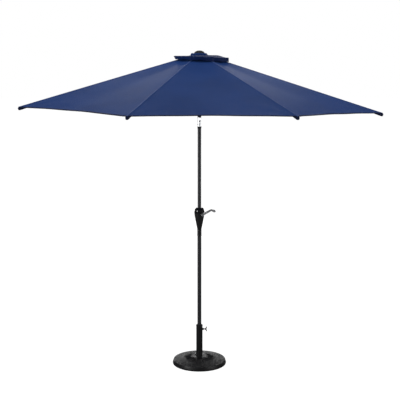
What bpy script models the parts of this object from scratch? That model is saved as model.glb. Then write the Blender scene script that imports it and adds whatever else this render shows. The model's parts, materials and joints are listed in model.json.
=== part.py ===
"""A crank-lift patio umbrella with a push-button tilt, standing in a weighted base.

Units are metres and +Z is up. The origin is the centre of the base's underside. The crank
comes out of the pole towards -Y, and the canopy tilts towards +X. Everything is at rest: the
canopy open, the tilt upright and the clamp tight.
"""

import math

import bmesh
import bpy
from mathutils import Matrix, Vector

# ---------------------------------------------------------------- driving dimensions

CLEARANCE = 0.0003  # gap between pieces that touch or rest on each other
RUNNING = 0.0004  # radial gap of a turning or sliding fit
MERGE = 0.00005  # points nearer than this are one
EDGE = 0.0010  # broken edge of a turned piece
CUTTER_REACH = 0.0100  # how far a cutter runs past the face it opens

# Base
BASE_RADIUS = 0.207
BASE_TOP_RADIUS = 0.2015
BASE_RIM_HEIGHT = 0.0300
BASE_HUB_HEIGHT = 0.0530
BASE_HUB_RADIUS = 0.058
BASE_RECESS_DEPTH = 0.0025
BASE_HUB_LIP = 0.0030
BASE_RIM_ROUND = 0.0060
BASE_FOOT_ROUND = 0.0045
BASE_TURN_DEG = -26.3  # direction in which the clamp knob points

# Sleeve on the base
SLEEVE_RADIUS = 0.0245
SLEEVE_WALL = 0.0020
SLEEVE_TOP = 0.2970
SLEEVE_WELD = 0.0030
FLANGE_RADIUS = 0.0555
FLANGE_THICKNESS = 0.0040
BOLT_CIRCLE = 0.0450
BOLT_COUNT = 4
BOLT_RADIUS = 0.0030
BOLT_HEAD_RADIUS = 0.0062
BOLT_HEAD_HEIGHT = 0.0048
BOLT_LENGTH = 0.0200
COLLAR_HEIGHT = 0.0110
COLLAR_LIP = 0.0012
COLLAR_SKIRT = 0.0130
COLLAR_ROUND = 0.0038

# Clamp through the sleeve
CLAMP_HEIGHT = 0.2720
CLAMP_BOSS_RADIUS = 0.0085
CLAMP_BOSS_LENGTH = 0.0090
CLAMP_SCREW_RADIUS = 0.0038
CLAMP_STANDOFF = 0.0085  # bare screw between the boss and the knob
KNOB_LENGTH = 0.0165
KNOB_SPAN = 0.0390
KNOB_THICKNESS = 0.0060
KNOB_NECK = 0.0050
KNOB_HUB_RADIUS = 0.0062
KNOB_EDGE = 0.0008

# Pole
POLE_RADIUS = 0.01525
POLE_WALL = 0.0014
POLE_TOP = 1.0300
MAST_RADIUS = 0.0135
MAST_WALL = 0.0014
MAST_OVERLAP = 0.0600
MAST_FIT = 0.00035  # radial gap of the mast in the lower pole's neck
MAST_TOP = 1.8390
FERRULE_BOTTOM = 1.0060
FERRULE_RADIUS = 0.0166

# Crank housing and crank
HOUSING_BOTTOM = 1.0605
HOUSING_TOP = 1.2260
HOUSING_RADIUS = 0.0394
HOUSING_WALL = 0.0022
CRANK_HEIGHT = 1.1760
SHAFT_RADIUS = 0.0042
SPOOL_RADIUS = 0.0075
SPOOL_GAP = 0.0016  # from its flanges to the mast's bore
SPOOL_FLANGE_RADIUS = MAST_RADIUS - MAST_WALL - SPOOL_GAP
SPOOL_WIDTH = 0.0100
SPOOL_FLANGE = 0.0015
SHAFT_PROUD = 0.0025  # past the back of the mast
CORD_RADIUS = 0.0011
ARM_LENGTH = 0.0810
ARM_RISE_DEG = 23.0
ARM_THICKNESS = 0.0050
ARM_HUB_RADIUS = 0.0110
ARM_END_RADIUS = 0.0065
ARM_HUB_LENGTH = 0.0100
ARM_HUB_CAP = 0.0012
ARM_STANDOFF = 0.0030  # from the housing
GRIP_LENGTH = 0.0620
GRIP_RADIUS = 0.0098
SPINDLE_RADIUS = 0.0030
GRIP_CAP = 0.0060  # closed outer end of the grip

# Tilt joint
TILT_HEIGHT = 1.8800
KNUCKLE_RADIUS = 0.0120
CHEEK_SLOT = 0.0094
CHEEK_RISE = 0.0090
KNUCKLE_GAP = 0.0165  # from the tilt axis to the full round of each half
TONGUE_HALF_WIDTH = 0.0095
TILT_PIN_RADIUS = 0.0030
PIN_HEAD_LIP = 0.0016
PIN_HEAD_THICKNESS = 0.0010
BUTTON_HEIGHT = 1.8530
BUTTON_RADIUS = 0.0043
BUTTON_PROUD = 0.0022
BUTTON_LENGTH = 0.0075
POCKET_DEPTH = 0.0140
SPRING_WIRE_RADIUS = 0.0004
SPRING_TURNS = 4
SPRING_STEPS = 10  # points in each turn
CORD_OFFSET = 0.0062  # the lift cord passes beside the tilt pin
CORD_BORE = 0.0019
MAST_RING_HEIGHT = 0.0140
MAST_RING_RADIUS = 0.0150
TILT_COLLAR_BOTTOM = 1.9060
TILT_COLLAR_HEIGHT = 0.0220
TILT_COLLAR_RADIUS = 0.0138
PLUG_LENGTH = 0.0390
UPPER_POLE_RADIUS = 0.0125
UPPER_POLE_WALL = 0.0013

# Hub and runner, which share the radius of their wire rings
HUB_HEIGHT = 2.3560  # the plane of the rib pivots
PIVOT_RADIUS = 0.0380
NOTCH_RADIUS = 0.0470
NOTCH_HALF_HEIGHT = 0.0100
NOTCH_CORE_RADIUS = 0.0258
NOTCH_SLOT = 0.0062
GROOVE_HALF_WIDTH = 0.0025
GROOVE_DEPTH_PAST_PIVOT = 0.0022
WIRE_RADIUS = 0.0016
SOCKET_DEPTH = 0.0240
SOCKET_WALL = 0.0050
HUB_CAP_RADIUS = 0.0440
HUB_CAP_THICKNESS = 0.0050
HUB_CAP_LIFT = 0.0012  # over the hub, so that the cord passes
PULLEY_RADIUS = 0.0087  # at the middle of the cord that lies on it
PULLEY_RIM = 0.0005
PULLEY_WIDTH = 0.0050
PULLEY_SLOT = 0.0070
TRUNNION_RADIUS = 0.0020
TRUNNION_LENGTH = 0.0020
CORD_END_DROP = 0.0120  # where the cord leaves the hub
RUNNER_BORE = 0.0158
RUNNER_WALL = 0.0052
RUNNER_LENGTH = 0.0450

# Ribs and struts
RIB_COUNT = 8
RIB_OPEN_DEG = 16.2  # mean angle below horizontal
RIB_SLACK_DEG = (0.2, 1.1, 0.6, 0.0, -0.2, -0.6, -1.1, 0.0)  # extra droop of each rib, as it hangs
CANOPY_RADIUS = 1.350
RIB_WIDTH = 0.0100
RIB_HEIGHT = 0.0150
ROOT_THICKNESS = 0.0050
ROOT_LENGTH = 0.0300
ROOT_END = 0.0070
ROOT_SHOULDER = 0.0060
RING_RUNNING = 0.0005  # a rib or strut turns on its wire ring
STRUT_LENGTH = 0.5300
STRUT_THICKNESS = 0.0050
STRUT_HEIGHT = 0.0120
STRUT_SIDE_GAP = 0.0006
STRUT_SEAT = 0.0050  # how far below the rib's middle the strut is pinned
JOGGLE_LENGTH = 0.0250
JOGGLE_SHIFT = 0.0040  # keeps the joggle as thick as the strut

# Canopy, crown and finial
FABRIC = 0.0012
FABRIC_LIFT = 0.0016  # over the middle of a rib, so that the fabric clears its edges
CANOPY_HOLE = 0.0540
HEM_RISE = 0.0160
CROWN_RADIUS = 0.2050
CROWN_RIM_HEIGHT = 2.3470
CROWN_HOLE = 0.0090
CROWN_NECK_LIP = 0.0040  # past the hub cap
CROWN_NECK_DROP = 0.0002
CROWN_SHOULDER_RADIUS = 0.0640
CROWN_SHOULDER_RISE = 0.0036  # over the highest rib's fabric
CROWN_FALL_RADIUS = 0.0850
CROWN_FALL_RISE = 0.0028
FINIAL_RADIUS = 0.0405
FINIAL_HEIGHT = 0.0238
FINIAL_STEM_RADIUS = 0.0055

# ---------------------------------------------------------------- worked-out places

BOSS_START = SLEEVE_RADIUS - SLEEVE_WALL / 2
BOSS_END = SLEEVE_RADIUS + CLAMP_BOSS_LENGTH
KNOB_START = BOSS_END + CLAMP_STANDOFF
RECESS_HEIGHT = BASE_HUB_HEIGHT - BASE_RECESS_DEPTH
SLEEVE_BOTTOM = RECESS_HEIGHT + CLEARANCE
FLANGE_TOP = SLEEVE_BOTTOM + FLANGE_THICKNESS
POLE_BOTTOM = RECESS_HEIGHT + CLEARANCE
PLUG_BOTTOM = MAST_TOP - PLUG_LENGTH
TONGUE_BOTTOM = TILT_HEIGHT + KNUCKLE_GAP
POCKET_END = -KNUCKLE_RADIUS + POCKET_DEPTH - CORD_OFFSET / 2
TONGUE_TOP = TILT_COLLAR_BOTTOM + PLUG_LENGTH
UPPER_POLE_BOTTOM = TILT_COLLAR_BOTTOM + CLEARANCE
UPPER_POLE_TOP = HUB_HEIGHT - PULLEY_RADIUS - PULLEY_RIM - 4 * CLEARANCE
HUB_CAP_BOTTOM = HUB_HEIGHT + NOTCH_HALF_HEIGHT + HUB_CAP_LIFT
HUB_CAP_TOP = HUB_CAP_BOTTOM + HUB_CAP_THICKNESS
CROWN_BOTTOM = HUB_CAP_TOP + RUNNING
FINIAL_BOTTOM = CROWN_BOTTOM + FABRIC + EDGE
RIB_LENGTH = (CANOPY_RADIUS - PIVOT_RADIUS) / math.cos(math.radians(RIB_OPEN_DEG))
RUNNER_HEIGHT = HUB_HEIGHT - 2 * STRUT_LENGTH * math.sin(math.radians(RIB_OPEN_DEG))
ARM_INNER_Y = -(HOUSING_RADIUS + ARM_STANDOFF)
RIB_STEP = 2 * math.pi / RIB_COUNT
PULLEY_TURN = RIB_STEP / 2  # the cord comes down midway between two ribs


# ---------------------------------------------------------------- scene and helpers


def clear_scene():
    for obj in list(bpy.data.objects):
        bpy.data.objects.remove(obj, do_unlink=True)


def new_collection(name):
    collection = bpy.data.collections.new(name)
    bpy.context.scene.collection.children.link(collection)
    return collection


clear_scene()
PARTS = new_collection("patio_umbrella")
CUTTERS = new_collection("cutters")
CUTTERS.hide_render = True


def material(name, colour, roughness, metallic=0.0):
    made = bpy.data.materials.new(name)
    made.use_nodes = True
    shader = made.node_tree.nodes["Principled BSDF"]
    shader.inputs["Base Color"].default_value = (*colour, 1.0)
    shader.inputs["Roughness"].default_value = roughness
    shader.inputs["Metallic"].default_value = metallic
    return made


MATERIALS = {
    "stone": material("cast_resin", (0.030, 0.030, 0.032), 0.55),
    "black_steel": material("powder_coated_steel", (0.020, 0.020, 0.022), 0.42, 0.3),
    "charcoal_steel": material("charcoal_pole", (0.055, 0.057, 0.063), 0.40, 0.4),
    "plastic": material("black_plastic", (0.012, 0.012, 0.013), 0.25),
    "chrome": material("chrome_steel", (0.62, 0.63, 0.65), 0.18, 1.0),
    "steel": material("bare_steel", (0.50, 0.50, 0.52), 0.35, 1.0),
    "fabric": material("navy_canvas", (0.020, 0.055, 0.170), 0.85),
    "cord": material("braided_cord", (0.60, 0.60, 0.58), 0.80),
}


def link(name, data, slot, collection=PARTS):
    """A new object in its collection, with its own copy of a base material."""
    obj = bpy.data.objects.new(name, data)
    collection.objects.link(obj)
    if slot and not data.materials:
        own = MATERIALS[slot].copy()
        own.name = f"{name}_{slot}"
        data.materials.append(own)
    return obj


def helper(name, data):
    obj = link(name, data, None, CUTTERS)
    obj.hide_render = True
    obj.display_type = "WIRE"
    return obj


def turned_mesh(name, profile):
    """A mesh of one outline in the XZ plane. It closes on itself unless its ends are on the axis."""
    on_axis = profile[0][0] == 0 and profile[-1][0] == 0
    count = len(profile)
    edges = [(i, (i + 1) % count) for i in range(count - on_axis)]
    mesh = bpy.data.meshes.new(name)
    mesh.from_pydata([(r, 0.0, z) for r, z in profile], edges, [])
    return mesh


def add_screw(obj, steps):
    screw = obj.modifiers.new("Turn", "SCREW")
    screw.steps = steps
    screw.render_steps = steps
    screw.use_merge_vertices = True
    screw.merge_threshold = MERGE
    screw.use_smooth_shade = True


def turned(name, profile, slot, steps=24):
    """A turned piece about Z. The profile runs down its outer side, top to bottom."""
    obj = link(name, turned_mesh(name, profile), slot)
    add_screw(obj, steps)
    return obj


def tube(name, outer, inner, low, high, slot, steps=24):
    profile = [(inner, high), (outer, high), (outer, low), (inner, low)]
    return turned(name, profile, slot, steps)


def along(start, end):
    """The matrix that takes +Z at the origin to the line from start towards end."""
    direction = Vector(end) - Vector(start)
    turn = direction.to_track_quat("Z", "Y").to_matrix().to_4x4()
    return Matrix.Translation(Vector(start)) @ turn


def rod_mesh(name, radius, start, end, sides=16):
    length = (Vector(end) - Vector(start)).length
    made = bmesh.new()
    bmesh.ops.create_cone(
        made, cap_ends=True, segments=sides, radius1=radius, radius2=radius, depth=length
    )
    bmesh.ops.translate(made, verts=made.verts, vec=(0, 0, length / 2))
    bmesh.ops.transform(made, matrix=along(start, end), verts=made.verts)
    mesh = bpy.data.meshes.new(name)
    made.to_mesh(mesh)
    made.free()
    return mesh


def box_mesh(name, low, high, turn=0.0):
    """A box between two corners, turned about Z through the origin."""
    low, high = Vector(low), Vector(high)
    made = bmesh.new()
    bmesh.ops.create_cube(made, size=1.0)
    bmesh.ops.scale(made, vec=high - low, verts=made.verts)
    bmesh.ops.translate(made, vec=(low + high) / 2, verts=made.verts)
    bmesh.ops.rotate(made, cent=(0, 0, 0), matrix=Matrix.Rotation(turn, 3, "Z"), verts=made.verts)
    mesh = bpy.data.meshes.new(name)
    made.to_mesh(mesh)
    made.free()
    return mesh


def boolean(obj, mesh, operation):
    """Cuts a helper's shape out of obj, or joins it on. The helper moves with obj."""
    tool = helper(f"{obj.name}_{operation.lower()}", mesh)
    tool.matrix_world = obj.matrix_world
    modifier = obj.modifiers.new(operation.title(), "BOOLEAN")
    modifier.operation = operation
    modifier.object = tool
    return tool


def cut_rod(obj, radius, start, end, sides=16):
    boolean(obj, rod_mesh("cutter", radius, start, end, sides), "DIFFERENCE")


def cut_box(obj, low, high, turn=0.0):
    boolean(obj, box_mesh("cutter", low, high, turn), "DIFFERENCE")


def baked(obj):
    """The object's evaluated mesh, welded, with its modifiers and helpers gone."""
    bpy.context.view_layer.update()
    graph = bpy.context.evaluated_depsgraph_get()
    mesh = bpy.data.meshes.new_from_object(obj.evaluated_get(graph))
    made = bmesh.new()
    made.from_mesh(mesh)
    bmesh.ops.remove_doubles(made, verts=made.verts, dist=MERGE / 5)
    bmesh.ops.recalc_face_normals(made, faces=made.faces)
    made.to_mesh(mesh)
    made.free()
    tools = [m.object for m in obj.modifiers if m.type == "BOOLEAN"]
    for gone in [obj, *tools]:
        bpy.data.objects.remove(gone, do_unlink=True)
    return mesh


def plate_mesh(name, outline, thickness):
    """A flat outline in the XY plane, as thick as stated and centred on Z = 0."""
    curve = bpy.data.curves.new(name, "CURVE")
    curve.dimensions = "2D"
    curve.fill_mode = "BOTH"
    curve.extrude = thickness / 2
    spline = curve.splines.new("POLY")
    spline.points.add(len(outline) - 1)
    for point, (x, y) in zip(spline.points, outline):
        point.co = (x, y, 0, 1)
    spline.use_cyclic_u = True
    obj = bpy.data.objects.new(name, curve)
    CUTTERS.objects.link(obj)
    mesh = baked(obj)
    bpy.data.curves.remove(curve)
    return mesh


def smooth(mesh, angle=35.0):
    mesh.shade_smooth()
    mesh.set_sharp_from_angle(angle=math.radians(angle))


def round_edges(obj, width, segments=1):
    bevel = obj.modifiers.new("Edges", "BEVEL")
    bevel.width = width
    bevel.segments = segments
    bevel.limit_method = "ANGLE"
    bevel.angle_limit = math.radians(50)


def arc(centre, radius, start_deg, end_deg, count):
    """Points on an arc, both ends included."""
    angles = [start_deg + (end_deg - start_deg) * i / (count - 1) for i in range(count)]
    return [
        (centre[0] + radius * math.cos(math.radians(a)), centre[1] + radius * math.sin(math.radians(a)))
        for a in angles
    ]


def direction(turn):
    return Vector((math.cos(turn), math.sin(turn), 0.0))


def cord(name, points, slot="cord"):
    """A thin round cord through the points."""
    curve = bpy.data.curves.new(name, "CURVE")
    curve.dimensions = "3D"
    curve.bevel_depth = CORD_RADIUS
    curve.bevel_resolution = 2
    curve.use_fill_caps = True
    spline = curve.splines.new("POLY")
    spline.points.add(len(points) - 1)
    for point, place in zip(spline.points, points):
        point.co = (*place, 1)
    return link(name, curve, slot)


# ---------------------------------------------------------------- base

BASE_TURN = math.radians(BASE_TURN_DEG)


def make_base():
    weight = turned(
        "base_weight",
        [
            (0.0, RECESS_HEIGHT),
            (BASE_HUB_RADIUS - EDGE, RECESS_HEIGHT),
            (BASE_HUB_RADIUS, BASE_HUB_HEIGHT),
            (BASE_HUB_RADIUS + BASE_HUB_LIP, BASE_HUB_HEIGHT),
            (BASE_TOP_RADIUS - BASE_RIM_ROUND, BASE_RIM_HEIGHT + BASE_RIM_ROUND * 0.3),
            (BASE_TOP_RADIUS, BASE_RIM_HEIGHT - EDGE),
            (BASE_RADIUS - EDGE, BASE_RIM_HEIGHT * 0.45),
            (BASE_RADIUS, BASE_RIM_HEIGHT * 0.30),
            (BASE_RADIUS - EDGE, BASE_FOOT_ROUND * 0.55),
            (BASE_RADIUS - BASE_FOOT_ROUND, 0.0),
            (0.0, 0.0),
        ],
        "stone",
        40,
    )
    for place in bolt_places():
        bottom = RECESS_HEIGHT + FLANGE_THICKNESS - BOLT_LENGTH - 2 * CLEARANCE
        top = BASE_HUB_HEIGHT + CUTTER_REACH
        cut_rod(weight, BOLT_RADIUS + RUNNING, (*place, bottom), (*place, top), 12)


def bolt_places():
    """The bolts stand midway between the knob's direction and the next quarter turn."""
    turns = [BASE_TURN + 2 * math.pi * (i + 0.5) / BOLT_COUNT for i in range(BOLT_COUNT)]
    return [(BOLT_CIRCLE * math.cos(t), BOLT_CIRCLE * math.sin(t)) for t in turns]


def make_sleeve():
    inner = SLEEVE_RADIUS - SLEEVE_WALL
    foot_bore = POLE_RADIUS + RUNNING
    sleeve = turned(
        "base_sleeve",
        [
            (inner, SLEEVE_TOP),
            (SLEEVE_RADIUS, SLEEVE_TOP),
            (SLEEVE_RADIUS, FLANGE_TOP + SLEEVE_WELD),
            (SLEEVE_RADIUS + SLEEVE_WELD, FLANGE_TOP),
            (FLANGE_RADIUS, FLANGE_TOP),
            (FLANGE_RADIUS, SLEEVE_BOTTOM),
            (foot_bore, SLEEVE_BOTTOM),
            (foot_bore, FLANGE_TOP),
            (inner, FLANGE_TOP),
        ],
        "black_steel",
    )
    for place in bolt_places():
        top = FLANGE_TOP + 2 * CUTTER_REACH
        cut_rod(sleeve, BOLT_RADIUS + RUNNING, (*place, 0.0), (*place, top), 12)
    out = direction(BASE_TURN)
    height = Vector((0, 0, CLAMP_HEIGHT))
    boss = rod_mesh("boss", CLAMP_BOSS_RADIUS, out * BOSS_START + height, out * BOSS_END + height)
    boolean(sleeve, boss, "UNION")
    bore = CLAMP_SCREW_RADIUS + RUNNING
    reach = CUTTER_REACH / 2
    cut_rod(sleeve, bore, out * (inner - reach) + height, out * (BOSS_END + reach) + height)


def make_bolts():
    for number, (x, y) in enumerate(bolt_places(), 1):
        base = FLANGE_TOP + CLEARANCE
        bolt = turned(
            f"base_bolt_{number}",
            [
                (0.0, base + BOLT_HEAD_HEIGHT),
                (BOLT_HEAD_RADIUS * 0.55, base + BOLT_HEAD_HEIGHT * 0.92),
                (BOLT_HEAD_RADIUS * 0.92, base + BOLT_HEAD_HEIGHT * 0.55),
                (BOLT_HEAD_RADIUS, base),
                (BOLT_RADIUS, base),
                (BOLT_RADIUS, base - BOLT_LENGTH),
                (0.0, base - BOLT_LENGTH),
            ],
            "chrome",
            12,
        )
        bolt.location = (x, y, 0.0)


def make_sleeve_collar():
    bore = POLE_RADIUS + RUNNING
    lip = SLEEVE_RADIUS + COLLAR_LIP
    skirt = SLEEVE_RADIUS - SLEEVE_WALL - CLEARANCE
    seat = SLEEVE_TOP + CLEARANCE
    top = seat + COLLAR_HEIGHT
    turned(
        "sleeve_collar",
        [
            (bore, top),
            (lip - COLLAR_ROUND, top),
            (lip, top - COLLAR_ROUND),
            (lip, seat),
            (skirt, seat),
            (skirt, seat - COLLAR_SKIRT),
            (bore, seat - COLLAR_SKIRT),
        ],
        "plastic",
    )


def knob_outline():
    """Half of the winged knob, seen from the side: x along the screw, y away from its axis."""
    half = KNOB_SPAN / 2
    upper = [
        (0.0, KNOB_NECK),
        (KNOB_LENGTH * 0.35, KNOB_NECK * 1.3),
        (KNOB_LENGTH * 0.72, half * 0.90),
        (KNOB_LENGTH * 0.88, half),
        (KNOB_LENGTH, half * 0.94),
        (KNOB_LENGTH * 0.92, half * 0.45),
        (KNOB_LENGTH * 0.72, 0.0),
    ]
    return upper + [(x, -y) for x, y in reversed(upper[:-1])]


def make_clamp():
    out = direction(BASE_TURN)
    height = Vector((0, 0, CLAMP_HEIGHT))
    inner_end = POLE_RADIUS + RUNNING
    bore_end = KNOB_LENGTH * 0.45  # how far the screw runs into the knob
    # The knob's own frame has X out along the screw and Y up.
    frame = Matrix.Translation(out * KNOB_START + height)
    frame = frame @ Matrix.Rotation(BASE_TURN, 4, "Z") @ Matrix.Rotation(math.pi / 2, 4, "X")

    carrier = link(
        "clamp_screw",
        rod_mesh("clamp_screw", CLAMP_SCREW_RADIUS, (inner_end, 0, 0), (KNOB_START + bore_end, 0, 0)),
        "steel",
    )
    carrier.matrix_world = Matrix.Translation(height) @ Matrix.Rotation(BASE_TURN, 4, "Z")

    knob = link("clamp_knob", plate_mesh("clamp_knob", knob_outline(), KNOB_THICKNESS), "plastic")
    round_edges(knob, KNOB_EDGE)
    knob.matrix_world = frame
    hub = rod_mesh("hub", KNOB_HUB_RADIUS, (-KNOB_EDGE, 0, 0), (KNOB_LENGTH * 0.62, 0, 0))
    boolean(knob, hub, "UNION")
    bore = CLAMP_SCREW_RADIUS + CLEARANCE
    cut_rod(knob, bore, (-CUTTER_REACH, 0, 0), (bore_end + CLEARANCE, 0, 0))


# ---------------------------------------------------------------- pole and crank


def make_poles():
    pole_bore = POLE_RADIUS - POLE_WALL
    neck_bore = MAST_RADIUS + MAST_FIT
    mast_bottom = POLE_TOP - MAST_OVERLAP
    turned(
        "lower_pole",
        [
            (neck_bore, POLE_TOP),
            (POLE_RADIUS, POLE_TOP),
            (POLE_RADIUS, POLE_BOTTOM),
            (pole_bore, POLE_BOTTOM),
            (pole_bore, mast_bottom - CLEARANCE),
            (neck_bore, mast_bottom),
        ],
        "charcoal_steel",
    )
    mast_bore = MAST_RADIUS - MAST_WALL
    mast = tube("mast", MAST_RADIUS, mast_bore, mast_bottom, MAST_TOP, "charcoal_steel")
    reach = MAST_RADIUS + CUTTER_REACH
    cut_rod(mast, SHAFT_RADIUS + RUNNING, (0, -reach, CRANK_HEIGHT), (0, reach, CRANK_HEIGHT))


def make_ferrule():
    lower_bore = POLE_RADIUS + CLEARANCE
    upper_bore = MAST_RADIUS + CLEARANCE
    step = POLE_TOP + CLEARANCE
    top = HOUSING_BOTTOM - CLEARANCE
    turned(
        "pole_ferrule",
        [
            (upper_bore, top),
            (FERRULE_RADIUS - EDGE, top),
            (FERRULE_RADIUS, top - EDGE),
            (FERRULE_RADIUS, FERRULE_BOTTOM + EDGE),
            (FERRULE_RADIUS - EDGE, FERRULE_BOTTOM),
            (lower_bore, FERRULE_BOTTOM),
            (lower_bore, step),
            (upper_bore, step),
        ],
        "plastic",
    )


def housing_profile():
    """Outside of the housing, top to bottom: a domed top over a cone that narrows to the pole."""
    height = HOUSING_TOP - HOUSING_BOTTOM
    shape = (
        (0.42, 1.000),
        (0.70, 0.985),
        (0.88, 0.935),
        (0.98, 0.870),
        (1.00, 0.812),
        (0.95, 0.665),
        (0.775, 0.415),
        (0.59, 0.186),
        (0.475, 0.060),
        (0.435, 0.000),
    )
    return [(HOUSING_RADIUS * r, HOUSING_BOTTOM + height * z) for r, z in shape]


def inset(profile, wall):
    """The profile moved in by the wall, along each point's normal."""
    moved = []
    for i, (r, z) in enumerate(profile):
        before = Vector(profile[max(i - 1, 0)])
        after = Vector(profile[min(i + 1, len(profile) - 1)])
        run = (after - before).normalized()
        moved.append((r + run.y * wall, z - run.x * wall))
    return moved


def make_housing():
    bore = MAST_RADIUS + CLEARANCE
    outside = housing_profile()
    inside = inset(outside, HOUSING_WALL)
    inside[0] = (bore, HOUSING_TOP - HOUSING_WALL)
    inside[-1] = (bore, HOUSING_BOTTOM)
    outside[0] = (bore, HOUSING_TOP)
    profile = outside + inside[::-1]
    far = HOUSING_RADIUS * 2
    shaft = SHAFT_RADIUS + RUNNING
    for side, name in ((-1, "crank_housing_left"), (1, "crank_housing_right")):
        shell = turned(name, profile, "plastic")
        edges = sorted((-side * far, side * CLEARANCE / 2))
        low, high = HOUSING_BOTTOM - CUTTER_REACH, HOUSING_TOP + CUTTER_REACH
        cut_box(shell, (edges[0], -far, low), (edges[1], far, high))
        cut_rod(shell, shaft, (0, -far, CRANK_HEIGHT), (0, 0, CRANK_HEIGHT))


def make_spool():
    """Shaft and spool in one, turning about Y inside the mast."""
    half = SPOOL_WIDTH / 2
    rear = MAST_RADIUS + SHAFT_PROUD
    front = ARM_INNER_Y - ARM_HUB_LENGTH
    flange = half - SPOOL_FLANGE
    spool = turned(
        "cord_spool",
        [
            (0.0, rear),
            (SHAFT_RADIUS, rear),
            (SHAFT_RADIUS, half),
            (SPOOL_FLANGE_RADIUS, half),
            (SPOOL_FLANGE_RADIUS, flange),
            (SPOOL_RADIUS, flange),
            (SPOOL_RADIUS, -flange),
            (SPOOL_FLANGE_RADIUS, -flange),
            (SPOOL_FLANGE_RADIUS, -half),
            (SHAFT_RADIUS, -half),
            (SHAFT_RADIUS, front),
            (0.0, front),
        ],
        "steel",
        20,
    )
    spool.location = (0, 0, CRANK_HEIGHT)
    spool.rotation_euler = (-math.pi / 2, 0, 0)


def arm_outline():
    """The flat arm in its own frame: x along the arm from the shaft, y across it."""
    big = ARM_HUB_RADIUS * 0.80
    small = ARM_END_RADIUS
    lean = math.degrees(math.asin((big - small) / ARM_LENGTH))
    ends = arc((0, 0), big, 90 - lean, 270 + lean, 9)
    return ends + arc((ARM_LENGTH, 0), small, -90 + lean, 90 - lean, 9)


def make_crank():
    crank = bpy.data.objects.new("crank_axis", None)
    PARTS.objects.link(crank)
    crank.location = (0, 0, CRANK_HEIGHT)
    # The arm's frame has X along the arm, and Z out of the housing, towards -Y.
    rise = math.radians(ARM_RISE_DEG)
    crank.rotation_euler = (math.pi / 2, -rise, 0)
    inner = -ARM_INNER_Y
    outer = inner + ARM_HUB_LENGTH
    arm = link("crank_arm", plate_mesh("crank_arm", arm_outline(), ARM_THICKNESS), "chrome")
    arm.data.transform(Matrix.Translation((0, 0, outer - ARM_THICKNESS / 2)))
    hub = rod_mesh("hub", ARM_HUB_RADIUS, (0, 0, inner), (0, 0, outer + ARM_HUB_CAP))
    spindle_start = outer - ARM_THICKNESS / 2
    spindle_end = outer + GRIP_LENGTH - GRIP_CAP
    spindle = rod_mesh(
        "spindle", SPINDLE_RADIUS, (ARM_LENGTH, 0, spindle_start), (ARM_LENGTH, 0, spindle_end)
    )
    arm.matrix_world = crank.matrix_basis
    boolean(arm, hub, "UNION")
    boolean(arm, spindle, "UNION")
    cut_rod(arm, SHAFT_RADIUS + CLEARANCE, (0, 0, inner - CUTTER_REACH), (0, 0, outer + CLEARANCE))

    start = outer + RUNNING
    end = outer + GRIP_LENGTH
    bore = SPINDLE_RADIUS + RUNNING
    grip = turned(
        "crank_grip",
        [
            (0.0, end),
            (GRIP_RADIUS * 0.55, end - EDGE),
            (GRIP_RADIUS * 0.92, end - GRIP_LENGTH * 0.10),
            (GRIP_RADIUS, end - GRIP_LENGTH * 0.23),
            (GRIP_RADIUS * 0.86, end - GRIP_LENGTH * 0.58),
            (GRIP_RADIUS * 0.72, end - GRIP_LENGTH * 0.87),
            (GRIP_RADIUS * 0.84, start),
            (bore, start),
            (bore, spindle_end + RUNNING),
            (0.0, spindle_end + RUNNING),
        ],
        "plastic",
        20,
    )
    grip.matrix_world = crank.matrix_basis @ Matrix.Translation((ARM_LENGTH, 0, 0))
    bpy.data.objects.remove(crank)


# ---------------------------------------------------------------- tilt joint


def make_mast_ring():
    bore = MAST_RADIUS + CLEARANCE
    low = MAST_TOP - MAST_RING_HEIGHT
    turned(
        "mast_ring",
        [
            (bore, MAST_TOP),
            (MAST_RING_RADIUS - EDGE / 2, MAST_TOP),
            (MAST_RING_RADIUS, MAST_TOP - EDGE),
            (MAST_RING_RADIUS, low),
            (bore, low),
        ],
        "plastic",
    )


def make_fork():
    plug = MAST_RADIUS - MAST_WALL - CLEARANCE
    top = TILT_HEIGHT + CHEEK_RISE
    shoulder = MAST_TOP + CLEARANCE
    fork = turned(
        "tilt_fork",
        [
            (0.0, top),
            (KNUCKLE_RADIUS - EDGE, top),
            (KNUCKLE_RADIUS, top - EDGE),
            (KNUCKLE_RADIUS, shoulder),
            (plug, shoulder),
            (plug, PLUG_BOTTOM),
            (0.0, PLUG_BOTTOM),
        ],
        "chrome",
        32,
    )
    wide = KNUCKLE_RADIUS * 2
    slot = CHEEK_SLOT / 2
    slot_floor = TILT_HEIGHT - KNUCKLE_GAP
    cut_box(fork, (-wide, -slot, slot_floor), (wide, slot, top + CUTTER_REACH))
    pin = TILT_PIN_RADIUS + CLEARANCE
    cut_rod(fork, pin, (0, -wide, TILT_HEIGHT), (0, wide, TILT_HEIGHT))
    below = PLUG_BOTTOM - CUTTER_REACH
    cut_rod(fork, CORD_BORE, (CORD_OFFSET, 0, below), (CORD_OFFSET, 0, TILT_HEIGHT), 12)
    pocket = BUTTON_RADIUS + RUNNING
    cut_rod(fork, pocket, (-wide, 0, BUTTON_HEIGHT), (POCKET_END, 0, BUTTON_HEIGHT))


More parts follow.
